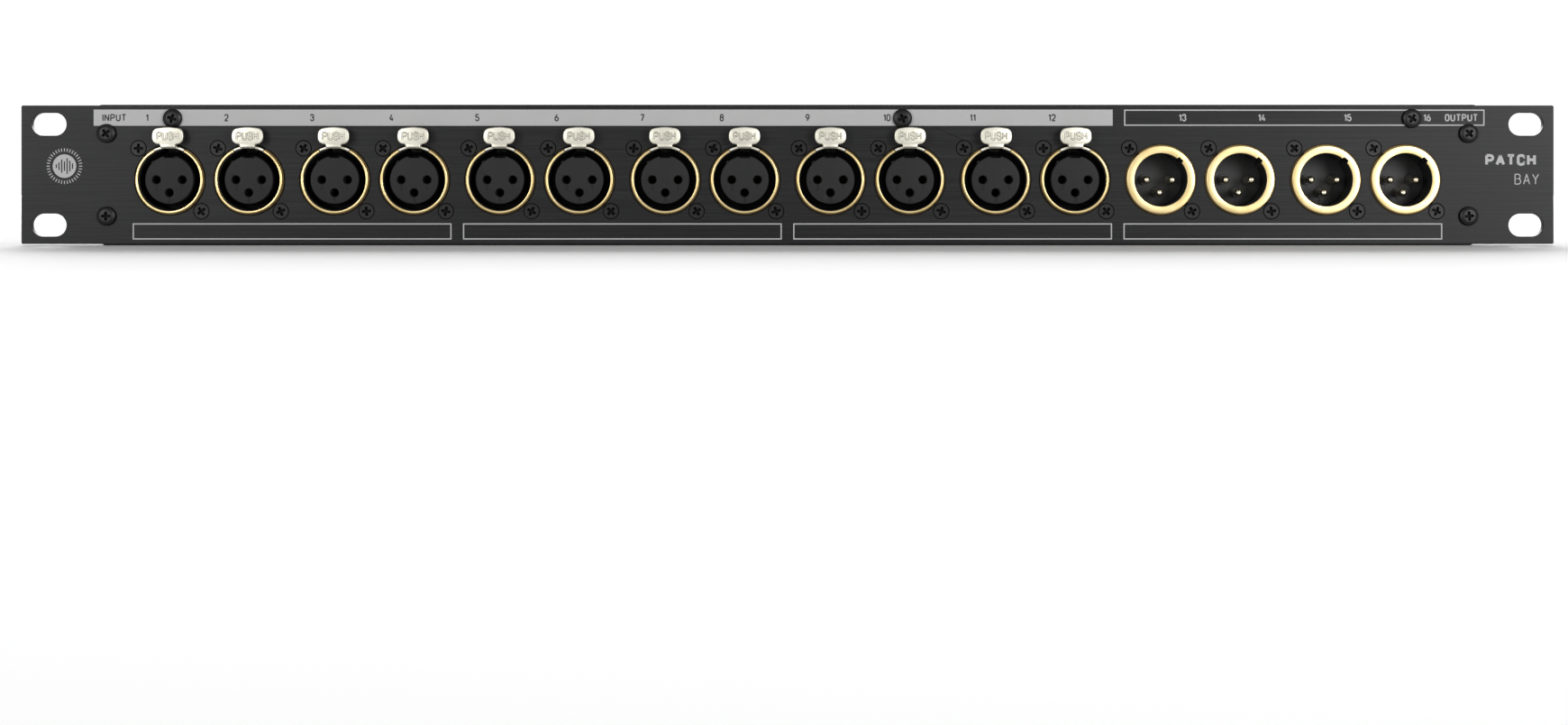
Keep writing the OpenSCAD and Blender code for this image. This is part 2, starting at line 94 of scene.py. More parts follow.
# %% Where each connector sits
CHANNELS = range(1, 17)
INPUTS = range(1, 13)
OUTPUTS = range(13, 17)
SOCKETS = {mount["name"]: mount["pos_m"] for mount in RECORD["mounts"] if "_socket_" in mount["name"]}
PANEL_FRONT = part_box("front_panel")[0].y
PANEL_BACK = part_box("front_panel")[1].y
REAR_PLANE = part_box("rear_panel")[0].y
REAR_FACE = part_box("rear_panel")[1].y
FACE_FRONT = Matrix.Rotation(math.radians(90), 4, "X")
FACE_BACK = Matrix.Rotation(math.radians(180), 4, "Z") @ FACE_FRONT


def front_place(channel):
    x, _, z = SOCKETS[f"front_socket_{channel:02d}"]
    return Matrix.Translation((x, PANEL_BACK, z)) @ FACE_FRONT


def rear_place(channel):
    x, _, z = SOCKETS[f"rear_socket_{channel:02d}"]
    return Matrix.Translation((x, REAR_PLANE, z)) @ FACE_BACK


FEMALE_PLACES = [front_place(c) for c in INPUTS] + [rear_place(c) for c in OUTPUTS]
MALE_PLACES = [front_place(c) for c in OUTPUTS] + [rear_place(c) for c in INPUTS]
print(len(FEMALE_PLACES), "female and", len(MALE_PLACES), "male connectors")

# %% [markdown]
# ## Shader maths as expressions
#
# Node graphs for worn metal and moulded plastic are mostly arithmetic on noise. A small class wraps a socket,
# so that `1 - grain * 0.2` adds the Math nodes by itself. Every other node comes from one method, which takes
# the node's type, its settings and its socket values.

# %% Sockets that can be added and multiplied


class Value:
    """A socket of a material's node tree, with arithmetic."""

    def __init__(self, tree, socket):
        self.tree = tree
        self.socket = socket

    def maths(self, operation, first, second):
        node = self.tree.nodes.new("ShaderNodeMath")
        node.operation = operation
        for slot, value in zip(node.inputs, (first, second)):
            if isinstance(value, Value):
                self.tree.links.new(value.socket, slot)
            else:
                slot.default_value = value
        return Value(self.tree, node.outputs[0])

    def __add__(self, other):
        return self.maths("ADD", self, other)

    def __radd__(self, other):
        return self.maths("ADD", other, self)

    def __sub__(self, other):
        return self.maths("SUBTRACT", self, other)

    def __rsub__(self, other):
        return self.maths("SUBTRACT", other, self)

    def __mul__(self, other):
        return self.maths("MULTIPLY", self, other)

    def __rmul__(self, other):
        return self.maths("MULTIPLY", other, self)


class Finish:
    """A procedural material. Its node method makes any node that isn't plain arithmetic."""

    def __init__(self, name):
        self.material = bpy.data.materials.new(name)
        self.material.use_nodes = True
        self.tree = self.material.node_tree
        self.tree.nodes.clear()
        self.place = self.node("TexCoord", output="Object")

    def node(self, kind, settings=None, sockets=None, output=0):
        made = self.tree.nodes.new("ShaderNode" + kind)
        for name, setting in (settings or {}).items():
            if name == "stops":
                for element, (position, colour) in zip(made.color_ramp.elements, setting):
                    element.position = position
                    element.color = colour
            else:
                setattr(made, name, setting)
        for name, value in (sockets or {}).items():
            if isinstance(value, Value):
                self.tree.links.new(value.socket, made.inputs[name])
            else:
                made.inputs[name].default_value = value
        return Value(self.tree, made.outputs[output]) if made.outputs else None

    def noise(self, per_metre, detail=2.0, roughness=0.5, output="Fac"):
        """Noise with so many lumps a metre along X, Y and Z, from 0 to 1."""
        where = self.node("Mapping", sockets={"Vector": self.place, "Scale": per_metre})
        return self.node("TexNoise", sockets={"Vector": where, "Scale": 1.0, "Detail": detail,
                                              "Roughness": roughness}, output=output)

    def ramp(self, value, low, high):
        """0 below low, 1 above high, smooth between."""
        return self.node("MapRange", {"interpolation_type": "SMOOTHSTEP"},
                         {"Value": value, "From Min": low, "From Max": high})

    def mix(self, share, first, second):
        """A colour between two colours."""
        return self.node("Mix", {"data_type": "RGBA"}, {0: share, 6: first, 7: second}, output=2)

    def bump(self, height, depth, strength=1.0):
        return self.node("Bump", sockets={"Height": height, "Distance": depth, "Strength": strength})

    def shade(self, **sockets):
        """Ends the material in a Principled surface with these sockets."""
        named = {name.replace("_", " "): value for name, value in sockets.items()}
        self.node("OutputMaterial", sockets={"Surface": self.node("BsdfPrincipled", sockets=named)})
        return self.material


def grey(level, warmth=0.0):
    """A linear grey, a little warm or cool."""
    return (level * (1 + warmth), level, level * (1 - warmth), 1.0)


# %% [markdown]
# ## Finishes
#
# The panel is aluminium, brushed along its length and then anodised black. Brushing leaves scratches a few
# centimetres long and a fraction of a millimetre high, so its noise is stretched far along X. The scratches
# drive a shallow bump, which spreads the lights' reflections up and down as real brushing does, and they also
# move the roughness a little.

# %% Brushed black anodising


def panel_finish():
    finish = Finish("black_brushed_anodising")
    long_grain = finish.noise((9, 9, 1500), detail=2.0, roughness=0.7)
    short_grain = finish.noise((60, 60, 5200), detail=2.0, roughness=0.6)
    handling = finish.noise((16, 16, 24), detail=3.0)
    grain = long_grain * 0.55 + short_grain * 0.45
    colour = finish.mix(finish.ramp(grain, 0.34, 0.68), grey(0.005, -0.03), grey(0.016, -0.03))
    return finish.shade(Base_Color=colour, Roughness=0.30 + grain * 0.14 + handling * 0.06,
                        Specular_IOR_Level=0.21, Normal=finish.bump(grain, 0.00004, 0.4))


# %% [markdown]
# The steel chassis has a powder coat: a soft orange-peel bump with lumps a little over a millimetre apart. The
# plastics are moulded nylon, whose skin carries a fine spark-eroded grain. The gold rings and the satin latches
# are plated metal, so their colour goes to Base Color with Metallic at 1, and a cloudy roughness keeps them
# from looking like new chrome.

# %% Paint and plastics


def chassis_finish():
    finish = Finish("black_powder_coat")
    peel = finish.noise((900, 900, 900), detail=2.0)
    pits = finish.noise((3800, 3800, 3800), detail=1.0)
    dust = finish.noise((35, 35, 35), detail=4.0)
    colour = finish.mix(dust, grey(0.010), grey(0.019))
    return finish.shade(Base_Color=colour, Roughness=0.42 + peel * 0.16 + dust * 0.06,
                        Normal=finish.bump(peel * 0.8 + pits * 0.2, 0.00012, 0.5))


def plastic_finish(name, dark, light, roughness, shine=0.5):
    finish = Finish(name)
    skin = finish.noise((5200, 5200, 5200), detail=1.0)
    flow = finish.noise((140, 140, 140), detail=3.0)
    colour = finish.mix(flow, grey(dark, -0.02), grey(light, -0.02))
    return finish.shade(Base_Color=colour, Roughness=roughness + skin * 0.12 + flow * 0.08,
                        Specular_IOR_Level=shine, Normal=finish.bump(skin, 0.00003, 0.5))


# %% Metals


def metal_finish(name, dark, light, roughness, lumps, depth):
    """Plated or turned metal: two tones, with fine lumps that break up its reflections."""
    finish = Finish(name)
    cloud = finish.noise((170, 170, 170), detail=4.0)
    fine = finish.noise((lumps, lumps, lumps), detail=2.0)
    colour = finish.mix(finish.ramp(cloud, 0.3, 0.7), dark, light)
    return finish.shade(Base_Color=colour, Metallic=1.0, Roughness=roughness + fine * 0.1 + cloud * 0.1,
                        Normal=finish.bump(fine, depth, 0.4))


def screw_finish():
    """Black zinc: dark, a little oily, with a thin pale wear on the high grain."""
    finish = Finish("black_zinc")
    cloud = finish.noise((420, 420, 420), detail=3.0)
    wear = finish.ramp(finish.noise((1600, 1600, 1600), detail=3.0), 0.62, 0.8)
    colour = finish.mix(wear * 0.5, grey(0.012), grey(0.055))
    return finish.shade(Base_Color=colour, Metallic=0.55, Roughness=0.3 + cloud * 0.2,
                        Normal=finish.bump(cloud, 0.00003, 0.5))


# %% Inks and boards


def ink_finish(name, level):
    """Screen-printed ink, whose weave leaves it a little uneven."""
    finish = Finish(name)
    weave = finish.noise((2600, 2600, 2600), detail=1.0)
    tone = finish.noise((60, 60, 60), detail=2.0)
    colour = finish.mix(tone * 0.6 + weave * 0.4, grey(level * 0.93), grey(level * 1.05))
    return finish.shade(Base_Color=colour, Roughness=0.5 + weave * 0.15,
                        Normal=finish.bump(weave, 0.00002, 0.4))


def board_finish():
    """Green solder mask with the copper tracks showing through as paler stripes."""
    finish = Finish("green_solder_mask")
    rows = finish.node("TexBrick", {"offset": 0.35},
                       {"Vector": finish.place, "Scale": 1.0, "Brick Width": 0.019, "Row Height": 0.0032,
                        "Mortar Size": 0.0004, "Mortar Smooth": 0.2}, output="Fac")
    cloud = finish.noise((260, 260, 260), detail=3.0)
    colour = finish.mix(rows, (0.006, 0.075, 0.03, 1), (0.02, 0.2, 0.075, 1))
    return finish.shade(Base_Color=colour, Roughness=0.28 + cloud * 0.14,
                        Normal=finish.bump(rows * 0.8 + cloud * 0.2, 0.00004, 0.6))


PANEL = panel_finish()
CHASSIS = chassis_finish()
HOUSING = plastic_finish("black_nylon", 0.006, 0.011, 0.46)
INSERT = plastic_finish("dark_grey_nylon", 0.007, 0.012, 0.5, 0.3)
INSERT_DARK = plastic_finish("black_grey_nylon", 0.014, 0.024, 0.4)
GOLD = metal_finish("gold_plating", (0.80, 0.61, 0.28, 1), (0.87, 0.69, 0.36, 1), 0.2, 700, 0.000003)
# A darker gold for the rings' low step: painted shade, standing for the dark panel that the step reflects.
GOLD_PAINTED_SHADE = metal_finish("gold_painted_shade", (0.10, 0.07, 0.03, 1), (0.16, 0.115, 0.05, 1), 0.36, 700,
                         0.000003)
NICKEL = metal_finish("satin_nickel", (0.64, 0.62, 0.53, 1), (0.74, 0.72, 0.62, 1), 0.34, 4200, 0.00002)
# A darker nickel for the outline round PUSH: painted shade at the letters' edges.
NICKEL_PAINTED_SHADE = metal_finish("painted_letter_shade", (0.26, 0.25, 0.21, 1), (0.32, 0.31, 0.26, 1), 0.4, 4200, 0.00002)
CONTACT = metal_finish("contact_plating", (0.80, 0.72, 0.52, 1), (0.92, 0.85, 0.66, 1), 0.16, 2400, 0.00001)
# The socket contacts are near-black: painted shade, so that the contact holes read dark.
SOCKET_PAINTED_SHADE = metal_finish("socket_contact_painted_shade", (0.035, 0.028, 0.018, 1), (0.06, 0.048, 0.03, 1), 0.45, 2400,
                            0.00001)
ZINC = metal_finish("bright_zinc", grey(0.48), grey(0.62), 0.28, 3000, 0.00003)
SPRING = metal_finish("spring_wire", grey(0.40), grey(0.52), 0.25, 5200, 0.00002)
BRASS = metal_finish("turned_brass", (0.60, 0.43, 0.18, 1), (0.74, 0.56, 0.27, 1), 0.22, 2600, 0.00002)
SCREW = screw_finish()
# A near-black for the screws' recesses and head sides: painted shade.
RECESS_PAINTED_SHADE = plastic_finish("painted_recess_shade", 0.001, 0.002, 0.4, 0.12)
LIGHT_INK = ink_finish("pale_grey_ink", 0.38)
DARK_INK = ink_finish("dark_grey_ink", 0.02)
BOARD = board_finish()
print(len(bpy.data.materials), "finishes")

# %% [markdown]
# ## Tools for modelling
#
# Most of the parts were turned, stamped or moulded, and the helpers follow that. `turned` spins a profile into
# a round part, `block` makes a box with broken edges, and `combine` joins or cuts two shapes with an exact
# boolean, so that a part ends as one closed skin. `filleted` rounds a profile's corners with true arcs.

# %% Profiles and turned parts


def filleted(corners, closed=True, steps=4):
    """Points of an outline whose corners, given as (r, z, radius), are rounded by arcs."""
    points = []
    for i, (x, z, radius) in enumerate(corners):
        here = Vector((x, z))
        if radius == 0 or (not closed and i in (0, len(corners) - 1)):
            points.append(here)
            continue
        before = (Vector(corners[i - 1][:2]) - here).normalized()
        after = (Vector(corners[(i + 1) % len(corners)][:2]) - here).normalized()
        half = before.angle(after) / 2
        reach = radius / math.tan(half)
        centre = here + (before + after).normalized() * (radius / math.sin(half))
        start, end = here + before * reach - centre, here + after * reach - centre
        turn = start.angle_signed(end)
        points += [centre + Matrix.Rotation(-turn * k / steps, 2) @ start for k in range(steps + 1)]
    return points


def turned(points, steps=48, closed=False, start=0.0, sweep=2 * math.pi):
    """A profile of (r, z) points in millimetres, spun about the Z axis."""
    bm = bmesh.new()
    verts = [bm.verts.new((r * MM, 0, z * MM)) for r, z in points]
    geometry = verts + [bm.edges.new(pair) for pair in zip(verts, verts[1:])]
    if closed:
        geometry.append(bm.edges.new((verts[-1], verts[0])))
    whole = abs(sweep - 2 * math.pi) < 1e-6
    if not whole:
        geometry.append(bm.faces.new(verts))
    bmesh.ops.rotate(bm, cent=(0, 0, 0), matrix=Matrix.Rotation(start, 3, "Z"), verts=verts)
    bmesh.ops.spin(bm, geom=geometry, cent=(0, 0, 0), axis=(0, 0, 1), angle=sweep, steps=steps, use_merge=whole)
    bmesh.ops.remove_doubles(bm, verts=bm.verts, dist=1e-7)
    bmesh.ops.recalc_face_normals(bm, faces=bm.faces)
    return bm


# %% Blocks, booleans and copies


def block(low, high, edge=0.0, segments=2):
    """A box between two corners in millimetres, with rounded edges."""
    bm = bmesh.new()
    size = Vector(high) - Vector(low)
    middle = (Vector(high) + Vector(low)) / 2
    matrix = Matrix.Translation(middle * MM) @ Matrix.Diagonal((size.x * MM, size.y * MM, size.z * MM, 1))
    bmesh.ops.create_cube(bm, size=1.0, matrix=matrix)
    if edge:
        bmesh.ops.bevel(bm, geom=bm.edges, offset=edge * MM, segments=segments, profile=0.5, affect="EDGES",
                        material=-1, offset_type="OFFSET")
    return bm


def moved(bm, matrix):
    bmesh.ops.transform(bm, matrix=matrix, verts=bm.verts)
    return bm


def shift(x, y, z):
    return Matrix.Translation((x * MM, y * MM, z * MM))


def as_object(bm, name="work"):
    mesh = bpy.data.meshes.new(name)
    bm.to_mesh(mesh)
    bm.free()
    made = bpy.data.objects.new(name, mesh)
    bpy.context.scene.collection.objects.link(made)
    return made


def combine(first, second, operation="UNION"):
    """One closed skin from two shapes: their union, or the first with the second cut away."""
    base, tool = as_object(first), as_object(second)
    modifier = base.modifiers.new("combine", "BOOLEAN")
    modifier.object = tool
    modifier.operation = operation
    modifier.solver = "EXACT"
    done = base.evaluated_get(bpy.context.evaluated_depsgraph_get())
    result = bmesh.new()
    result.from_mesh(done.to_mesh())
    done.to_mesh_clear()
    for used in (base, tool):
        mesh = used.data
        bpy.data.objects.remove(used)
        bpy.data.meshes.remove(mesh)
    bmesh.ops.remove_doubles(result, verts=result.verts, dist=1e-7)
    return result


def joined(shapes):
    """Several shapes in one mesh, each still a closed skin of its own."""
    whole = bmesh.new()
    for shape in shapes:
        mesh = bpy.data.meshes.new("part")
        shape.to_mesh(mesh)
        shape.free()
        whole.from_mesh(mesh)
        bpy.data.meshes.remove(mesh)
    return whole


def copies(shape, places):
    """The shape at each of several places, in one mesh."""
    return joined([moved(shape.copy(), place) for place in places])


def piece(name, bm, materials, body="chassis", stands_for=(), sharp=34):
    """Makes the finished object, smooth up to an angle, riding on its body."""
    made = as_object(bm, name)
    for material in materials:
        made.data.materials.append(material)
    made.data.shade_smooth()
    made.data.set_sharp_from_angle(angle=math.radians(sharp))
    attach(made, body)
    if stands_for:
        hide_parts(*stands_for)
    print(f"{name}: {len(made.data.polygons)} faces")
    return made


# %% [markdown]
# ## Lettering
#
# Panel lettering of this kind is a plain narrow sans of even strokes, much as an engraver draws it. So each
# character is a few strokes in a box 1 high, with rounded corners, and every stroke becomes a thin bead along a
# curve. Flattened, the bead makes the domed film of screen-printed ink. Raised, it makes a moulded numeral.

# %% Stroke lettering
GLYPHS = {
    "1": [[(0.02, 0.76, 0), (0.24, 1, 0), (0.24, 0, 0)]],
    "2": [[(0, 0.74, 0), (0, 1, 0.24), (0.5, 1, 0.24), (0.5, 0.55, 0.12), (0, 0, 0), (0.52, 0, 0)]],
    "3": [[(0, 0.78, 0), (0, 1, 0.22), (0.48, 1, 0.22), (0.48, 0.54, 0.2), (0.2, 0.54, 0)],
          [(0.2, 0.54, 0), (0.5, 0.54, 0.22), (0.5, 0, 0.24), (0, 0, 0.24), (0, 0.22, 0)]],
    "4": [[(0.3, 1, 0), (0, 0.24, 0), (0.54, 0.24, 0)], [(0.38, 0.5, 0), (0.38, 0, 0)]],
    "5": [[(0.46, 1, 0), (0.04, 1, 0), (0.02, 0.58, 0), (0.5, 0.62, 0.2), (0.5, 0, 0.25), (0, 0, 0.25),
           (0, 0.2, 0)]],
    "6": [[(0.33, 1, 0), (0, 0.42, 0.1), (0, 0, 0.25), (0.5, 0, 0.25), (0.5, 0.58, 0.25), (0.04, 0.58, 0.1)]],
    "7": [[(0, 1, 0), (0.5, 1, 0), (0.16, 0, 0)]],
    "8": [[(0.03, 0.77, 0), (0.03, 1, 0.2), (0.47, 1, 0.2), (0.47, 0.54, 0.2), (0.03, 0.54, 0.2),
           (0.03, 0.77, 0)],
          [(0, 0.27, 0), (0, 0.54, 0.24), (0.5, 0.54, 0.24), (0.5, 0, 0.24), (0, 0, 0.24), (0, 0.27, 0)]],
    "9": [[(0.17, 0, 0), (0.5, 0.58, 0.1), (0.5, 1, 0.25), (0, 1, 0.25), (0, 0.42, 0.25), (0.46, 0.42, 0.1)]],
    "0": [[(0, 0.5, 0), (0, 1, 0.25), (0.5, 1, 0.25), (0.5, 0, 0.25), (0, 0, 0.25), (0, 0.5, 0)]],
    "A": [[(0, 0, 0), (0.28, 1, 0), (0.56, 0, 0)], [(0.09, 0.33, 0), (0.47, 0.33, 0)]],
    "B": [[(0, 0, 0), (0, 1, 0), (0.47, 1, 0.2), (0.47, 0.54, 0.2), (0, 0.54, 0)],
          [(0, 0.54, 0), (0.52, 0.54, 0.22), (0.52, 0, 0.24), (0, 0, 0)]],
    "C": [[(0.5, 0.78, 0), (0.5, 1, 0.24), (0, 1, 0.25), (0, 0, 0.25), (0.5, 0, 0.24), (0.5, 0.22, 0)]],
    "H": [[(0, 0, 0), (0, 1, 0)], [(0.52, 0, 0), (0.52, 1, 0)], [(0, 0.52, 0), (0.52, 0.52, 0)]],
    "I": [[(0, 0, 0), (0, 1, 0)]],
    "N": [[(0, 0, 0), (0, 1, 0), (0.54, 0, 0), (0.54, 1, 0)]],
    "P": [[(0, 0, 0), (0, 1, 0), (0.52, 1, 0.24), (0.52, 0.46, 0.24), (0, 0.46, 0)]],
    "S": [[(0.5, 0.8, 0), (0.5, 1, 0.22), (0, 1, 0.22), (0, 0.52, 0.22), (0.5, 0.52, 0.22), (0.5, 0, 0.22),
           (0, 0, 0.22), (0, 0.2, 0)]],
    "T": [[(0, 1, 0), (0.52, 1, 0)], [(0.26, 1, 0), (0.26, 0, 0)]],
    "U": [[(0, 1, 0), (0, 0, 0.25), (0.52, 0, 0.25), (0.52, 1, 0)]],
    "Y": [[(0, 1, 0), (0.27, 0.48, 0), (0.54, 1, 0)], [(0.27, 0.48, 0), (0.27, 0, 0)]],
}
GLYPHS["O"] = GLYPHS["0"]


def runs(stroke):
    """A stroke in runs that end at its sharp corners, because a bead pinches where it turns sharply."""
    parts, run = [], [stroke[0]]
    for corner in stroke[1:-1]:
        run.append(corner)
        if corner[2] == 0:
            parts.append(run)
            run = [corner]
    return parts + [run + [stroke[-1]]]


def letters(text, height, raised, weight=0.15, stretch=1.0, gap=0.29):
    """Lettering centred on the origin and facing +Z, so high and raised by so many millimetres."""
    curve = bpy.data.curves.new("letters", "CURVE")
    curve.dimensions = "3D"
    curve.bevel_depth = weight / 2
    curve.bevel_resolution = 1
    curve.use_fill_caps = True
    start = 0.0
    for character in text:
        strokes = GLYPHS[character]
        for run in [part for stroke in strokes for part in runs(stroke)]:
            path = filleted(run, closed=False)
            spline = curve.splines.new("POLY")
            spline.points.add(len(path) - 1)
            for point, (x, y) in zip(spline.points, path):
                point.co = (start + x * stretch, y, 0, 1)
        start += max(x for stroke in strokes for x, _, _ in stroke) * stretch + gap
    work = bpy.data.objects.new("letters", curve)
    bpy.context.scene.collection.objects.link(work)
    bpy.context.view_layer.update()
    done = work.evaluated_get(bpy.context.evaluated_depsgraph_get())
    bm = bmesh.new()
    bm.from_mesh(done.to_mesh())
    done.to_mesh_clear()
    bpy.data.objects.remove(work)
    bpy.data.curves.remove(curve)
    bmesh.ops.remove_doubles(bm, verts=bm.verts, dist=1e-5)
    size = height / (1 + weight) * MM
    middle = Matrix.Translation((-(start - gap) / 2, -0.5, 0))
    moved(bm, Matrix.Diagonal((size, size, raised * MM / (weight / 2), 1)) @ middle)
    bmesh.ops.recalc_face_normals(bm, faces=bm.faces)
    return bm


# %% [markdown]
# ## Camera, floor and light
#
# The unit is seen square on, from about a metre away and level with the connectors, and it stands in the upper
# part of the picture. A studio camera gets that with a shifted lens, so that upright edges stay upright. A
# broad low light behind makes the floor white. Two soft boxes at the sides put the pale sheen on the two ends
# of the panel, while its middle stays dark.

# %% Camera
VIEW_DISTANCE = 1.0
FRAME_ACROSS = 0.4938
SENSOR = 36.0
BELOW = 0.0591
SIDE_STEP = -0.0011

camera = bpy.data.objects.new("camera", bpy.data.cameras.new("camera"))
bpy.context.scene.collection.objects.link(camera)
camera.data.sensor_width = SENSOR
camera.data.lens = SENSOR * VIEW_DISTANCE / FRAME_ACROSS
camera.data.shift_y = -BELOW / FRAME_ACROSS
camera.location = (SIDE_STEP, PANEL_FRONT - VIEW_DISTANCE, 0)
camera.rotation_euler = (math.radians(90), 0, 0)
bpy.context.scene.camera = camera
bpy.context.scene.view_settings.view_transform = "Standard"
print("lens", round(camera.data.lens, 1), "mm, shifted by", round(camera.data.shift_y, 3))

# %% Floor and backdrop


def floor_finish():
    finish = Finish("pale_floor")
    tone = finish.noise((3, 3, 3), detail=2.0)
    return finish.shade(Base_Color=finish.mix(tone, grey(0.88), grey(0.90)), Roughness=0.6 + tone * 0.1,
                        Specular_IOR_Level=0.2)


FLOOR_HALF, FLOOR_BACK = 6.0, 2.4
floor_mesh = bmesh.new()
bmesh.ops.create_grid(floor_mesh, x_segments=1, y_segments=1, size=FLOOR_HALF,
                      matrix=Matrix.Translation((0, FLOOR_BACK - FLOOR_HALF, CAD_LOW.z)))
floor = as_object(floor_mesh, "floor")
floor.data.materials.append(floor_finish())

world = bpy.data.worlds.new("studio")
bpy.context.scene.world = world
world.use_nodes = True
sky = world.node_tree.nodes["Background"]
seen = world.node_tree.nodes.new("ShaderNodeBackground")
seen.inputs["Color"].default_value = grey(1.0)
seen.inputs["Strength"].default_value = 1.02
sky.inputs["Color"].default_value = grey(1.0)
sky.inputs["Strength"].default_value = 0.22
ray = world.node_tree.nodes.new("ShaderNodeLightPath")
either = world.node_tree.nodes.new("ShaderNodeMixShader")
world.node_tree.links.new(ray.outputs["Is Camera Ray"], either.inputs[0])
world.node_tree.links.new(sky.outputs[0], either.inputs[1])
world.node_tree.links.new(seen.outputs[0], either.inputs[2])
world.node_tree.links.new(either.outputs[0], world.node_tree.nodes["World Output"].inputs["Surface"])

# %% Lamps


def soft_box(name, place, aim, width, height, watts):
    lamp = bpy.data.lights.new(name, "AREA")
    lamp.shape = "RECTANGLE"
    lamp.size = width
    lamp.size_y = height
    lamp.energy = watts
    made = bpy.data.objects.new(name, lamp)
    bpy.context.scene.collection.objects.link(made)
    made.location = place
    made.rotation_euler = (Vector(aim) - Vector(place)).to_track_quat("-Z", "Y").to_euler()
    return made


soft_box("back_box", (0, 2.6, 0.95), (0, -0.3, -0.02), 6.0, 1.3, 152)
soft_box("floor_box", (0, -1.0, 2.2), (0, -0.7, 0), 2.4, 0.6, 2.5)
soft_box("front_card", (0, -1.9, 0.4), (0, 0, 0), 1.9, 1.1, 3.2)
soft_box("left_strip", (-0.66, -1.0, 0.1), (-0.25, 0, 0), 0.36, 0.6, 6.4)
soft_box("right_strip", (0.66, -1.0, 0.1), (0.25, 0, 0), 0.36, 0.6, 10.5)
for lamp in bpy.data.objects:
    if lamp.type == "LIGHT":
        lamp.visible_camera = False
print(len(bpy.data.lights), "lamps")

# %% [markdown]
# ## Front panel
#
# The CAD panel has the right shape, but its edges are perfectly sharp, and a real one was tumbled before it was
# brushed. A merged copy of it gets a narrow bevel round its outline and its rack slots, which is where the eye
# finds an edge. The connector holes stay sharp, because the rings and the screws cover them.

# %% Broken edges on the panel


def softened_copy(node, chosen, width):
    """A merged copy of a CAD node, with the edges that chosen picks bevelled."""
    bm = bmesh.new()
    bm.from_mesh(NODES[node].data)
    bmesh.ops.remove_doubles(bm, verts=bm.verts, dist=1e-6)
    bmesh.ops.dissolve_limit(bm, angle_limit=math.radians(0.5), verts=bm.verts, edges=bm.edges)
    sharp = [edge for edge in bm.edges
             if len(edge.link_faces) == 2 and edge.calc_face_angle() > math.radians(40) and chosen(edge)]
    bmesh.ops.bevel(bm, geom=sharp, offset=width * MM, segments=2, profile=0.5, affect="EDGES", material=-1)
    return bm


EAR_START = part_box("top_cover")[1].x + 2 * MM
PANEL_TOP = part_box("front_panel")[1].z
PANEL_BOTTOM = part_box("front_panel")[0].z


def panel_edge(edge):
    points = [vert.co for vert in edge.verts]
    on_ear = all(abs(p.x) > EAR_START for p in points)
    on_rim = all(p.z > PANEL_TOP - 1e-5 or p.z < PANEL_BOTTOM + 1e-5 for p in points)
    return on_ear or on_rim


FLAT_PLATE_ANGLE = 15
piece("front_panel_plate", softened_copy("front_panel", panel_edge, 0.2), [PANEL],
      stands_for=["front_panel"], sharp=FLAT_PLATE_ANGLE)

# %% [markdown]
# ## Printed legend
#
# The legend is screen printed: a filled pale band behind the input numbers, an outlined box for the outputs and
# four outlined boxes to write on. Ink has a real thickness, so each mark is a plate a few hundredths of a
# millimetre thick that lies on the panel. The lettering is generic: channel numbers and the words INPUT and
# OUTPUT. A plain sound-wave badge and the words PATCH BAY stand where a maker would put its own marks.

# %% Bands, boxes and lettering on the front
INK = 0.03


def front_mark(bm, x, z, above=0.0):
    """Puts a mark drawn around the origin on the panel's front, at x and z in millimetres."""
    return moved(bm, Matrix.Translation((x * MM, PANEL_FRONT - above * MM, z * MM)) @ FACE_FRONT)


def plate(width, height):
    return block((-width / 2, -height / 2, 0), (width / 2, height / 2, INK))


def outline(width, height, line):
    """A thin printed frame: a plate's face is inset by the line's width and the middle is taken out."""
    bm = bmesh.new()
    bmesh.ops.create_grid(bm, x_segments=1, y_segments=1, size=0.5)
    bmesh.ops.scale(bm, vec=(width * MM, height * MM, 1), verts=bm.verts)
    middle = list(bm.faces)
    bmesh.ops.inset_region(bm, faces=middle, thickness=line * MM, use_even_offset=True, use_boundary=True)
    bmesh.ops.delete(bm, geom=middle, context="FACES")
    top = bmesh.ops.extrude_face_region(bm, geom=list(bm.faces))
    lifted = [item for item in top["geom"] if isinstance(item, bmesh.types.BMVert)]
    bmesh.ops.translate(bm, vec=(0, 0, INK * MM), verts=lifted)
    bmesh.ops.recalc_face_normals(bm, faces=bm.faces)
    return bm


BAND_Z = 17.95
BAND_H = 5.1
BAND_LEFT, BAND_RIGHT = -218.5, 102.4
BOX_LEFT, BOX_RIGHT = 106.0, 219.5
NOTE_Z, NOTE_W, NOTE_H = -17.85, 100.4, 5.1
NOTE_XS = (-156, -52, 52, 156)
LINE = 0.38
NUMBER_H, NUMBER_LINE = 2.35, 0.22

light_marks = [front_mark(plate(BAND_RIGHT - BAND_LEFT, BAND_H), (BAND_LEFT + BAND_RIGHT) / 2, BAND_Z),
               front_mark(outline(BOX_RIGHT - BOX_LEFT, BAND_H, LINE), (BOX_LEFT + BOX_RIGHT) / 2, BAND_Z)]
light_marks += [front_mark(outline(NOTE_W, NOTE_H, LINE), x, NOTE_Z) for x in NOTE_XS]
for channel in OUTPUTS:
    light_marks.append(front_mark(letters(str(channel), NUMBER_H, 2 * INK, NUMBER_LINE),
                                  SOCKETS[f"front_socket_{channel:02d}"][0] / MM + 6.9, BAND_Z))
light_marks.append(front_mark(letters("OUTPUT", NUMBER_H, 2 * INK, NUMBER_LINE, 1.12, 0.34), 212.2, BAND_Z))

dark_marks = [front_mark(letters("INPUT", NUMBER_H, 2 * INK, NUMBER_LINE, 1.12, 0.34), -212.0, BAND_Z, INK)]
for channel in INPUTS:
    dark_marks.append(front_mark(letters(str(channel), NUMBER_H, 2 * INK, NUMBER_LINE),
                                 SOCKETS[f"front_socket_{channel:02d}"][0] / MM - 7.2, BAND_Z, INK))

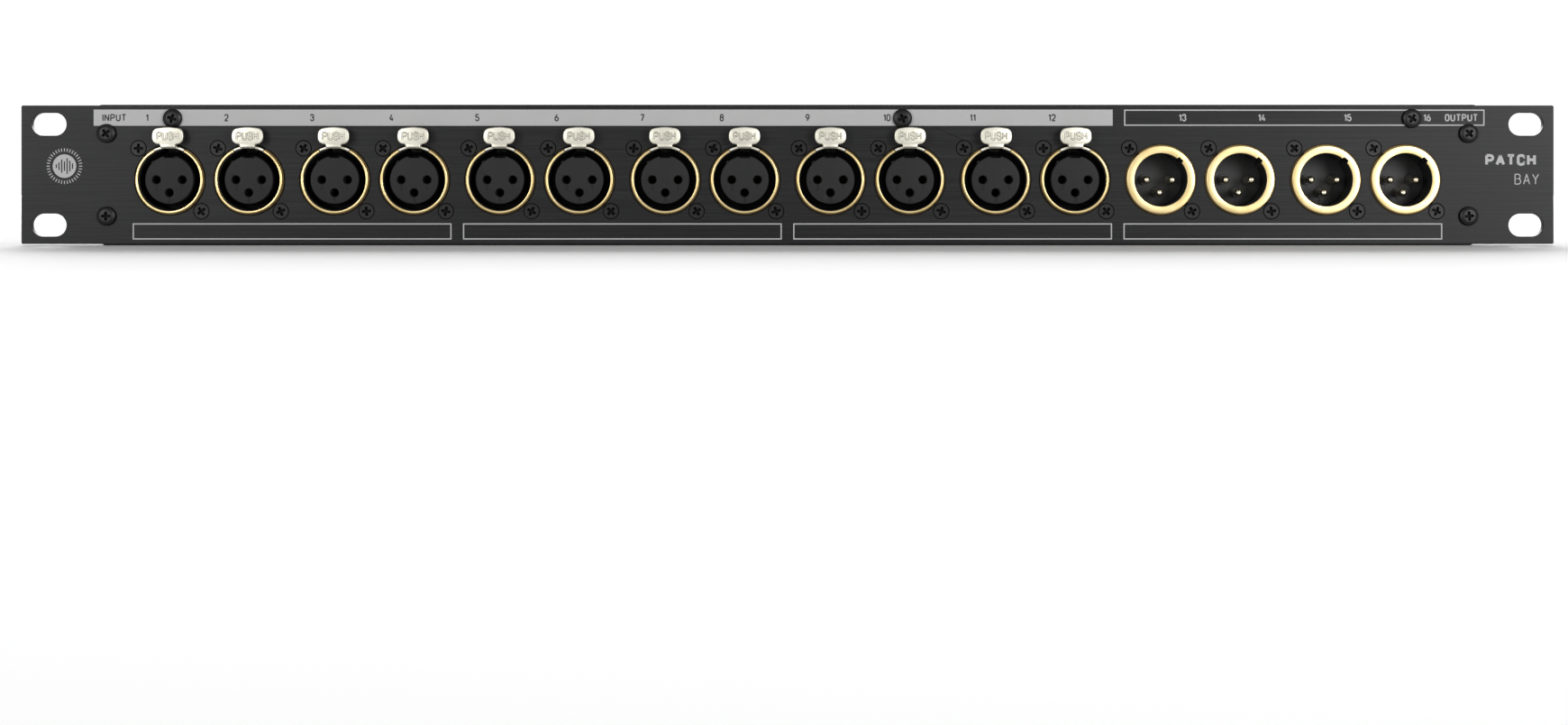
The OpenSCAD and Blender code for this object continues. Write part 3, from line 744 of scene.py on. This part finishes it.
# %% The badge and the name of the thing
BADGE_X, BADGE_Z = -227.7, 2.7
WAVE = (1.2, 2.4, 4.2, 3.0, 5.0, 3.4, 1.8)
TICKS = 36


def badge():
    """A ring of ticks around a disc with a sound wave cut out of it."""
    disc = turned([(0, 0), (3.7, 0), (3.7, INK), (0, INK)], steps=48)
    for i, height in enumerate(WAVE):
        x = (i - (len(WAVE) - 1) / 2) * 0.85
        disc = combine(disc, block((x - 0.2, -height / 2, -1), (x + 0.2, height / 2, 1)), "DIFFERENCE")
    tick = block((-0.14, 4.6, 0), (0.14, 5.65, INK))
    ring = copies(tick, [Matrix.Rotation(2 * math.pi * k / TICKS, 4, "Z") for k in range(TICKS)])
    return joined([disc, ring])


light_marks.append(front_mark(badge(), BADGE_X, BADGE_Z))
light_marks.append(front_mark(letters("PATCH", 3.7, INK, 0.3, 1.32, 0.46), 227.7, 4.65))
light_marks.append(front_mark(letters("BAY", 3.4, INK, 0.1, 1.1, 0.3), 232.8, -1.4))
piece("legend_pale_ink", joined(light_marks), [LIGHT_INK])
piece("legend_dark_ink", joined(dark_marks), [DARK_INK])

# %% [markdown]
# ## Gold rings
#
# A female connector wears a round bead of gold-plated metal, open at the top where the latch comes through. A
# male one has a broad flat face with a key notch in its inner edge, on a stepped skirt. Both are turned parts,
# so each starts as a filleted profile that is spun. The female profile stops short of a full turn.

# %% Female ring
SLEEVE = 10.5
BEAD_IN, BEAD_OUT, SKIRT_OUT = 9.8, 10.62, 10.98
MOUTH, SKIRT_TOP, SEAT = 4.5, 3.3, 2.9
GAP_HALF = math.radians(28)
SCREW_OFF = 9.9
SCREW_SIGNS = (-1, 1)
RELIEF = 3.2


def screw_relief(ring, radius):
    """Cuts the ring back beside the two screws, so that their heads can seat."""
    for s in SCREW_SIGNS:
        cutter = turned([(0, 0.05), (radius, 0.05), (radius, MOUTH + 1), (0, MOUTH + 1)], steps=32)
        ring = combine(ring, moved(cutter, shift(s * SCREW_OFF, -s * SCREW_OFF, 0)), "DIFFERENCE")
    return ring


def dull_skirt(ring, radius):
    """Gives the low step outside a radius the second finish, a darker gold that is painted shade: it stands for the
    dark panel that this step reflects.
    """
    for face in ring.faces:
        face.material_index = int(face.calc_center_median().xy.length > radius * MM)
    return ring


bead = filleted([(BEAD_IN, SEAT, 0), (BEAD_IN, MOUTH, 0.24), (BEAD_OUT, MOUTH, 0.3), (BEAD_OUT, SKIRT_TOP, 0),
                 (SKIRT_OUT, SKIRT_TOP, 0.12), (SKIRT_OUT, 0, 0), (SLEEVE, 0, 0), (SLEEVE, SEAT, 0)], steps=6)
female_ring = turned(bead, steps=80, start=math.pi / 2 + GAP_HALF, sweep=2 * math.pi - 2 * GAP_HALF)
female_ring = dull_skirt(screw_relief(female_ring, RELIEF), BEAD_OUT)
piece("gold_rings_female", copies(female_ring, FEMALE_PLACES), [GOLD, GOLD_PAINTED_SHADE],
      stands_for=["female_rings"])

# %% Male ring
CAVITY, FACE_OUT, STEP_OUT = 8.36, 10.75, 11.12
FACE, FACE_THICK, STEP = 4.3, 0.7, 3.2
KEY_ANGLE = 44
KEY_W, KEY_R = 2.0, 9.2

rim = filleted([(CAVITY, FACE - FACE_THICK, 0), (CAVITY, FACE, 0.16), (FACE_OUT, FACE, 0.28), (FACE_OUT, STEP, 0),
                (STEP_OUT, STEP, 0.12), (STEP_OUT, 0, 0), (SLEEVE, 0, 0), (SLEEVE, FACE - FACE_THICK, 0)])
key_slot = moved(block((-KEY_W / 2, 0, 0), (KEY_W / 2, KEY_R, FACE + 1), 0.35, 3),
                 Matrix.Rotation(math.radians(-KEY_ANGLE), 4, "Z"))
male_ring = combine(turned(rim, steps=96, closed=True), key_slot, "DIFFERENCE")
male_ring = dull_skirt(screw_relief(male_ring, RELIEF + 0.1), FACE_OUT)
piece("gold_rings_male", copies(male_ring, MALE_PLACES), [GOLD, GOLD_PAINTED_SHADE],
      stands_for=["male_rings"])

# %% [markdown]
# ## Inserts
#
# The insert carries the contacts. In a female connector it is a round core with three holes, a key rib and a
# notch at the top that the latch's nose drops into. In a male one it is the floor of the cavity, with a low
# collar round each pin. Each contact has its number moulded beside it, as on any connector of this kind.

# %% Female insert
CORE, CORE_FACE, CORE_EDGE = 7.62, 4.1, 0.3
SOCKET, SOCKET_FLOOR, HOUSING_BACK = 9.7, -14.0, -17.0
PITCH, HOLE, WALL = 4.06, 1.3, 1.75
CONTACT_POINTS = ((-PITCH, 0), (PITCH, 0), (0, -PITCH))
NUMERAL_H, NUMERAL_RAISE = 1.5, 0.14


def numeral(text, x, y, z):
    return moved(letters(text, NUMERAL_H, NUMERAL_RAISE), shift(x, y, z))


core = turned(filleted([(0, HOUSING_BACK, 0), (SOCKET, HOUSING_BACK, 0), (SOCKET, SOCKET_FLOOR, 0),
                        (CORE, SOCKET_FLOOR, 0), (CORE, CORE_FACE, CORE_EDGE), (0, CORE_FACE, 0)],
                       closed=False), steps=72)
key_rib = moved(block((-0.6, CORE - 0.4, SOCKET_FLOOR - 0.5), (0.6, CORE + 0.45, CORE_FACE - 1.2), 0.2),
                Matrix.Rotation(math.radians(KEY_ANGLE), 4, "Z"))
core = combine(core, key_rib)
core = combine(core, block((-1.8, CORE - 0.75, -6.5), (1.8, CORE + 2, CORE_FACE + 2)), "DIFFERENCE")
for x, y in CONTACT_POINTS:
    bore = turned([(0, HOUSING_BACK - 1), (WALL, HOUSING_BACK - 1), (WALL, 0), (HOLE, 0), (HOLE, CORE_FACE - 0.22),
                   (HOLE + 0.2, CORE_FACE), (HOLE + 0.2, CORE_FACE + 1), (0, CORE_FACE + 1)], steps=32)
    core = combine(core, moved(bore, shift(x, y, 0)), "DIFFERENCE")
female_numerals = [numeral("2", -PITCH + 0.1, -2.5, CORE_FACE), numeral("1", PITCH - 0.1, -2.5, CORE_FACE),
                   numeral("3", 0, -6.3, CORE_FACE)]
piece("inserts_female", copies(joined([core] + female_numerals), FEMALE_PLACES), [INSERT],
      stands_for=["female_inserts"])

# %% Male insert
MALE_FLOOR, MALE_BASE = -10.0, -14.0
COLLAR, COLLAR_H = 1.75, 0.5
PIN_R = 1.19

floor_disc = turned(filleted([(0, MALE_BASE, 0), (CAVITY, MALE_BASE, 0), (CAVITY, MALE_FLOOR, 0.2),
                              (0, MALE_FLOOR, 0)], closed=False), steps=72)
for x, y in CONTACT_POINTS:
    collar = turned(filleted([(0, MALE_FLOOR - 1, 0), (COLLAR, MALE_FLOOR - 1, 0),
                              (COLLAR, MALE_FLOOR + COLLAR_H, 0.2), (0, MALE_FLOOR + COLLAR_H, 0)],
                             closed=False), steps=32)
    floor_disc = combine(floor_disc, moved(collar, shift(x, y, 0)))
    shaft = turned([(0, MALE_BASE - 1), (PIN_R, MALE_BASE - 1), (PIN_R, 0), (0, 0)], steps=32)
    floor_disc = combine(floor_disc, moved(shaft, shift(x, y, 0)), "DIFFERENCE")
male_numerals = [numeral("1", -PITCH, -2.7, MALE_FLOOR), numeral("2", PITCH, -2.7, MALE_FLOOR),
                 numeral("3", 0, -6.8, MALE_FLOOR)]
piece("inserts_male", copies(joined([floor_disc] + male_numerals), MALE_PLACES), [INSERT_DARK],
      stands_for=["male_inserts"])

# %% [markdown]
# ## Push latches
#
# Each female connector has a latch pressed from one sheet: a crowned tab to push, a short stem, two curved
# shoulders that close the gap in the ring, and an arm that runs back to the hinge pin. The tab and stem are one
# outline, extruded and then rounded at the rim. Every latch is a piece of its own and rides on its own body, so
# it tips when its joint turns.

# %% One latch
TAB_FRONT, TAB_GAP = 7.04, 5.5
WORD_RAISE, WORD_LINE, WORD_EDGE = 0.14, 0.15, 0.3
TAB_BASE, TAB_TOP, TAB_HALF = 11.15, 16.7, 5.0
STEM_HALF, STEM_LOW = 2.37, 10.1
ARM_HALF, ARM_LOW, ARM_HIGH = 2.2, 9.9, 10.85
PIVOT_UP, PIVOT_Z, PIVOT_R = 10.9, -13.0, 0.85
EYE_R, EYE_IN, EYE_OUT = 1.3, 1.35, 2.2
SHOULDER_IN, SHOULDER_OUT, SHOULDER_HALF = 9.98, 10.74, math.radians(26.5)
SHOULDER_BACK, SHOULDER_FRONT = 3.3, 4.6


def slab(corners, low, high, rim):
    """A filleted outline extruded from low to high, with its front rim rounded."""
    bm = bmesh.new()
    face = bm.faces.new([bm.verts.new((x * MM, y * MM, low * MM)) for x, y in filleted(corners, steps=6)])
    lifted = bmesh.ops.extrude_face_region(bm, geom=[face])["geom"]
    front = [item for item in lifted if isinstance(item, bmesh.types.BMVert)]
    bmesh.ops.translate(bm, vec=(0, 0, (high - low) * MM), verts=front)
    bmesh.ops.recalc_face_normals(bm, faces=bm.faces)
    edges = [edge for edge in bm.edges if all(vert in front for vert in edge.verts)]
    bmesh.ops.bevel(bm, geom=edges, offset=rim * MM, segments=3, profile=0.5, affect="EDGES", material=-1)
    return bm


right = [(STEM_HALF, STEM_LOW, 0.2), (STEM_HALF, TAB_BASE - 0.02, 0.55), (TAB_HALF - 0.25, TAB_BASE + 0.05, 2.0),
         (TAB_HALF, (TAB_BASE + TAB_TOP) / 2 - 0.1, 5), (TAB_HALF - 0.4, TAB_TOP - 0.65, 2.0)]
left = [(-x, y, r) for x, y, r in reversed(right)]
tab = slab(right + [(0, TAB_TOP, 12)] + left, TAB_GAP, TAB_FRONT, 0.32)

latch = combine(tab, block((-ARM_HALF, ARM_LOW, -11), (ARM_HALF, ARM_HIGH, TAB_GAP + 0.9), 0.15))
shoulder = filleted([(SHOULDER_IN, SHOULDER_BACK, 0.1), (SHOULDER_IN, SHOULDER_FRONT, 0.16),
                     (SHOULDER_OUT, SHOULDER_FRONT, 0.16), (SHOULDER_OUT, SHOULDER_BACK, 0.1)])
latch = combine(latch, turned(shoulder, steps=20, start=math.pi / 2 - SHOULDER_HALF, sweep=2 * SHOULDER_HALF))
nose = block((-1.6, 8.75, -4.5), (1.6, 10.2, -1))
front_low = [v for v in nose.verts if v.co.y < 9 * MM and v.co.z > -2 * MM]
bmesh.ops.translate(nose, vec=(0, 0, -2.5 * MM), verts=front_low)
latch = combine(latch, nose)
for s in SCREW_SIGNS:
    eye = turned(filleted([(0, EYE_IN, 0), (EYE_R, EYE_IN, 0.1), (EYE_R, EYE_OUT, 0.1), (0, EYE_OUT, 0)],
                          closed=False), steps=32)
    sideways = Matrix.Rotation(math.radians(90 * s), 4, "Y")
    eye = moved(eye, shift(0, PIVOT_UP, PIVOT_Z) @ sideways)
    cheek = block((min(s * EYE_IN, s * EYE_OUT), ARM_LOW, PIVOT_Z), (max(s * EYE_IN, s * EYE_OUT), ARM_HIGH, -10.9))
    latch = combine(latch, combine(eye, cheek))
pin_hole = turned([(0, -5), (PIVOT_R, -5), (PIVOT_R, 5), (0, 5)], steps=32)
pin_hole = moved(pin_hole, shift(0, PIVOT_UP, PIVOT_Z) @ Matrix.Rotation(math.radians(90), 4, "Y"))
latch = combine(latch, pin_hole, "DIFFERENCE")
word = letters("PUSH", 2.5, WORD_RAISE, WORD_LINE, 1.05)
# A wider, lower copy of PUSH under the word takes the darker nickel: painted shade round the letters.
edge = letters("PUSH", 2.5 * (1 + WORD_EDGE) / (1 + WORD_LINE), WORD_RAISE / 2, WORD_EDGE, 1.05)
for face in edge.faces:
    face.material_index = 1
latch = joined([latch] + [moved(mark, shift(0, 13.75, TAB_FRONT)) for mark in (edge, word)])
print("latch:", len(latch.faces), "faces")

# %% A latch for every female connector
for channel, place in zip(list(INPUTS) + list(OUTPUTS), FEMALE_PLACES):
    node = f"{'input' if channel in INPUTS else 'rear'}_latch_{channel:02d}"
    piece(f"push_latch_{channel:02d}", moved(latch.copy(), place), [NICKEL, NICKEL_PAINTED_SHADE],
          body=f"latch_{channel:02d}", stands_for=[node])

# %% [markdown]
# ## Screws
#
# All the screws have a cross recess. A real one is tapered: two wings that narrow as they go down, round a
# cone in the middle. The shape is cut into the head with a boolean. The walls of the recess and the sides of the
# head take a near-black finish, which is painted shade. The places are read from the CAD screws: each separate
# solid's box gives one axis and one head.

# %% Screw shapes
THREAD = 1.5
WING_HALF, WING_W, HEAD_EDGE = 1.7, 0.46, 0.28
RECESS = 1.0


def cross_cutter(top):
    wings = []
    for quarter in (0, 90):
        wing = block((-WING_HALF, -WING_W, top - RECESS), (WING_HALF, WING_W, top + 0.4))
        deep = [v for v in wing.verts if v.co.z < (top - RECESS / 2) * MM]
        bmesh.ops.scale(wing, vec=(0.5, 0.7, 1), verts=deep)
        wings.append(moved(wing, Matrix.Rotation(math.radians(quarter), 4, "Z")))
    cone = turned([(0, top - 1.2 * RECESS), (0.25, top - 1.2 * RECESS), (0.95, top + 0.3), (0, top + 0.3)], steps=24)
    return combine(combine(*wings), cone)


def screw(corners, top, rim):
    """A screw from its profile. The recess and what lies outside the rim radius take the second finish, which is
    painted shade.
    """
    shape = combine(turned(filleted(corners, closed=False), steps=36), cross_cutter(top), "DIFFERENCE")
    for face in shape.faces:
        middle = face.calc_center_median() / MM
        # Painted shade: the recess walls and the head's sides outside the rim go near-black.
        in_recess = middle.xy.length < WING_HALF and top - 1.5 * RECESS < middle.z < top - 0.03
        face.material_index = int(in_recess or middle.xy.length > rim)
    return shape


def flat_screw(radius, height, length):
    return screw([(0, -length, 0), (THREAD, -length, 0.3), (THREAD, -height, 0), (radius, -0.3, 0),
                  (radius - HEAD_EDGE, 0, 0), (0, 0, 0)], 0, radius - HEAD_EDGE)


def raised_screw(radius, height, length):
    return screw([(0, -length, 0), (THREAD, -length, 0.3), (THREAD, 0, 0), (radius, 0, 0.1),
                  (radius, 0.72 * height, 0.5), (0.62 * radius, height, 1.2), (0, height, 0)], height, 0.93 * radius)


# %% Screws where the CAD has them
OUTWARD = {"front": FACE_FRONT, "rear": FACE_BACK, "up": Matrix.Identity(4),
           "left": Matrix.Rotation(math.radians(-90), 4, "Y"), "right": Matrix.Rotation(math.radians(90), 4, "Y")}
TURN_STEP = 37


def solid_boxes(node):
    """The box of each separate solid of a CAD node."""
    bm = bmesh.new()
    bm.from_mesh(NODES[node].data)
    bmesh.ops.remove_doubles(bm, verts=bm.verts, dist=1e-6)
    waiting, boxes = set(bm.verts), []
    while waiting:
        group, front = [], [waiting.pop()]
        while front:
            vert = front.pop()
            group.append(vert.co.copy())
            near = {edge.other_vert(vert) for edge in vert.link_edges} & waiting
            waiting -= near
            front += near
        boxes.append((Vector(map(min, zip(*group))), Vector(map(max, zip(*group)))))
    bm.free()
    return sorted(boxes, key=lambda box: tuple(round(v, 5) for v in box[0]))


def screws(node, shape, head, side, finishes):
    """Puts the screw at each CAD screw of a node, each turned to a different angle."""
    places = []
    for count, (low, high) in enumerate(solid_boxes(node)):
        middle = (low + high) / 2
        way = side or ("left" if middle.x < 0 else "right")
        out = OUTWARD[way].to_3x3() @ Vector((0, 0, 1))
        reach = (high - low).dot(Vector([abs(v) for v in out])) / 2
        seat = middle + out * (reach - head * MM)
        spin = Matrix.Rotation(math.radians(TURN_STEP * count), 4, "Z")
        places.append(Matrix.Translation(seat) @ OUTWARD[way] @ spin)
    piece(f"detailed_{node}", copies(shape, places), finishes, stands_for=[node])


SCREW_AND_PAINTED_SHADE = [SCREW, RECESS_PAINTED_SHADE]
connector_screw = flat_screw(2.55, 1.05, 8.0)
panel_screw = raised_screw(3.0, 1.5, 6.0)
cover_screw = raised_screw(2.75, 1.6, 4.0)
screws("front_connector_screws", connector_screw, 0, "front", SCREW_AND_PAINTED_SHADE)
screws("rear_connector_screws", connector_screw, 0, "rear", SCREW_AND_PAINTED_SHADE)
screws("front_panel_screws", panel_screw, 1.5, "front", SCREW_AND_PAINTED_SHADE)
screws("rear_panel_screws", panel_screw, 1.5, "rear", SCREW_AND_PAINTED_SHADE)
screws("cover_screws", cover_screw, 1.6, None, SCREW_AND_PAINTED_SHADE)
screws("board_screws", cover_screw, 1.6, "up", [ZINC, ZINC])

# %% [markdown]
# ## Rear legend
#
# Whoever wires the rack needs the channel numbers at the back too. They are printed above each connector, and
# read from behind.

# %% Numbers on the back
REAR_NUMBER_Z = 15.5


def rear_mark(bm, x, z):
    return moved(bm, Matrix.Translation((x * MM, REAR_FACE, z * MM)) @ FACE_BACK)


rear_marks = [rear_mark(letters(str(c), 2.6, INK), SOCKETS[f"rear_socket_{c:02d}"][0] / MM,
                        REAR_NUMBER_Z) for c in CHANNELS]
piece("legend_rear", joined(rear_marks), [LIGHT_INK])

# %% [markdown]
# ## Finishes for the CAD parts that stay
#
# The sheet-metal parts, housings, contacts, pins, springs and boards keep their CAD shapes. Each takes the
# finish of its real material, except the socket contacts, whose near-black is painted shade.

# %% CAD parts get their finish
FINISHES = {"chassis_tray": CHASSIS, "top_cover": CHASSIS, "rear_panel": CHASSIS, "board_standoffs": BRASS,
            "rear_male_housings": HOUSING, "rear_female_housings": HOUSING, "socket_contacts": SOCKET_PAINTED_SHADE,
            "pin_contacts": CONTACT, "latch_pins": ZINC, "latch_springs": SPRING}
for name, shown in NODES.items():
    if shown.hide_render:
        continue
    finish = BOARD if name.startswith("patch_board") else HOUSING if "_housing_" in name else FINISHES[name]
    shown.data.materials.clear()
    shown.data.materials.append(finish)
print(sum(not shown.hide_render for shown in NODES.values()), "CAD nodes stay in view")
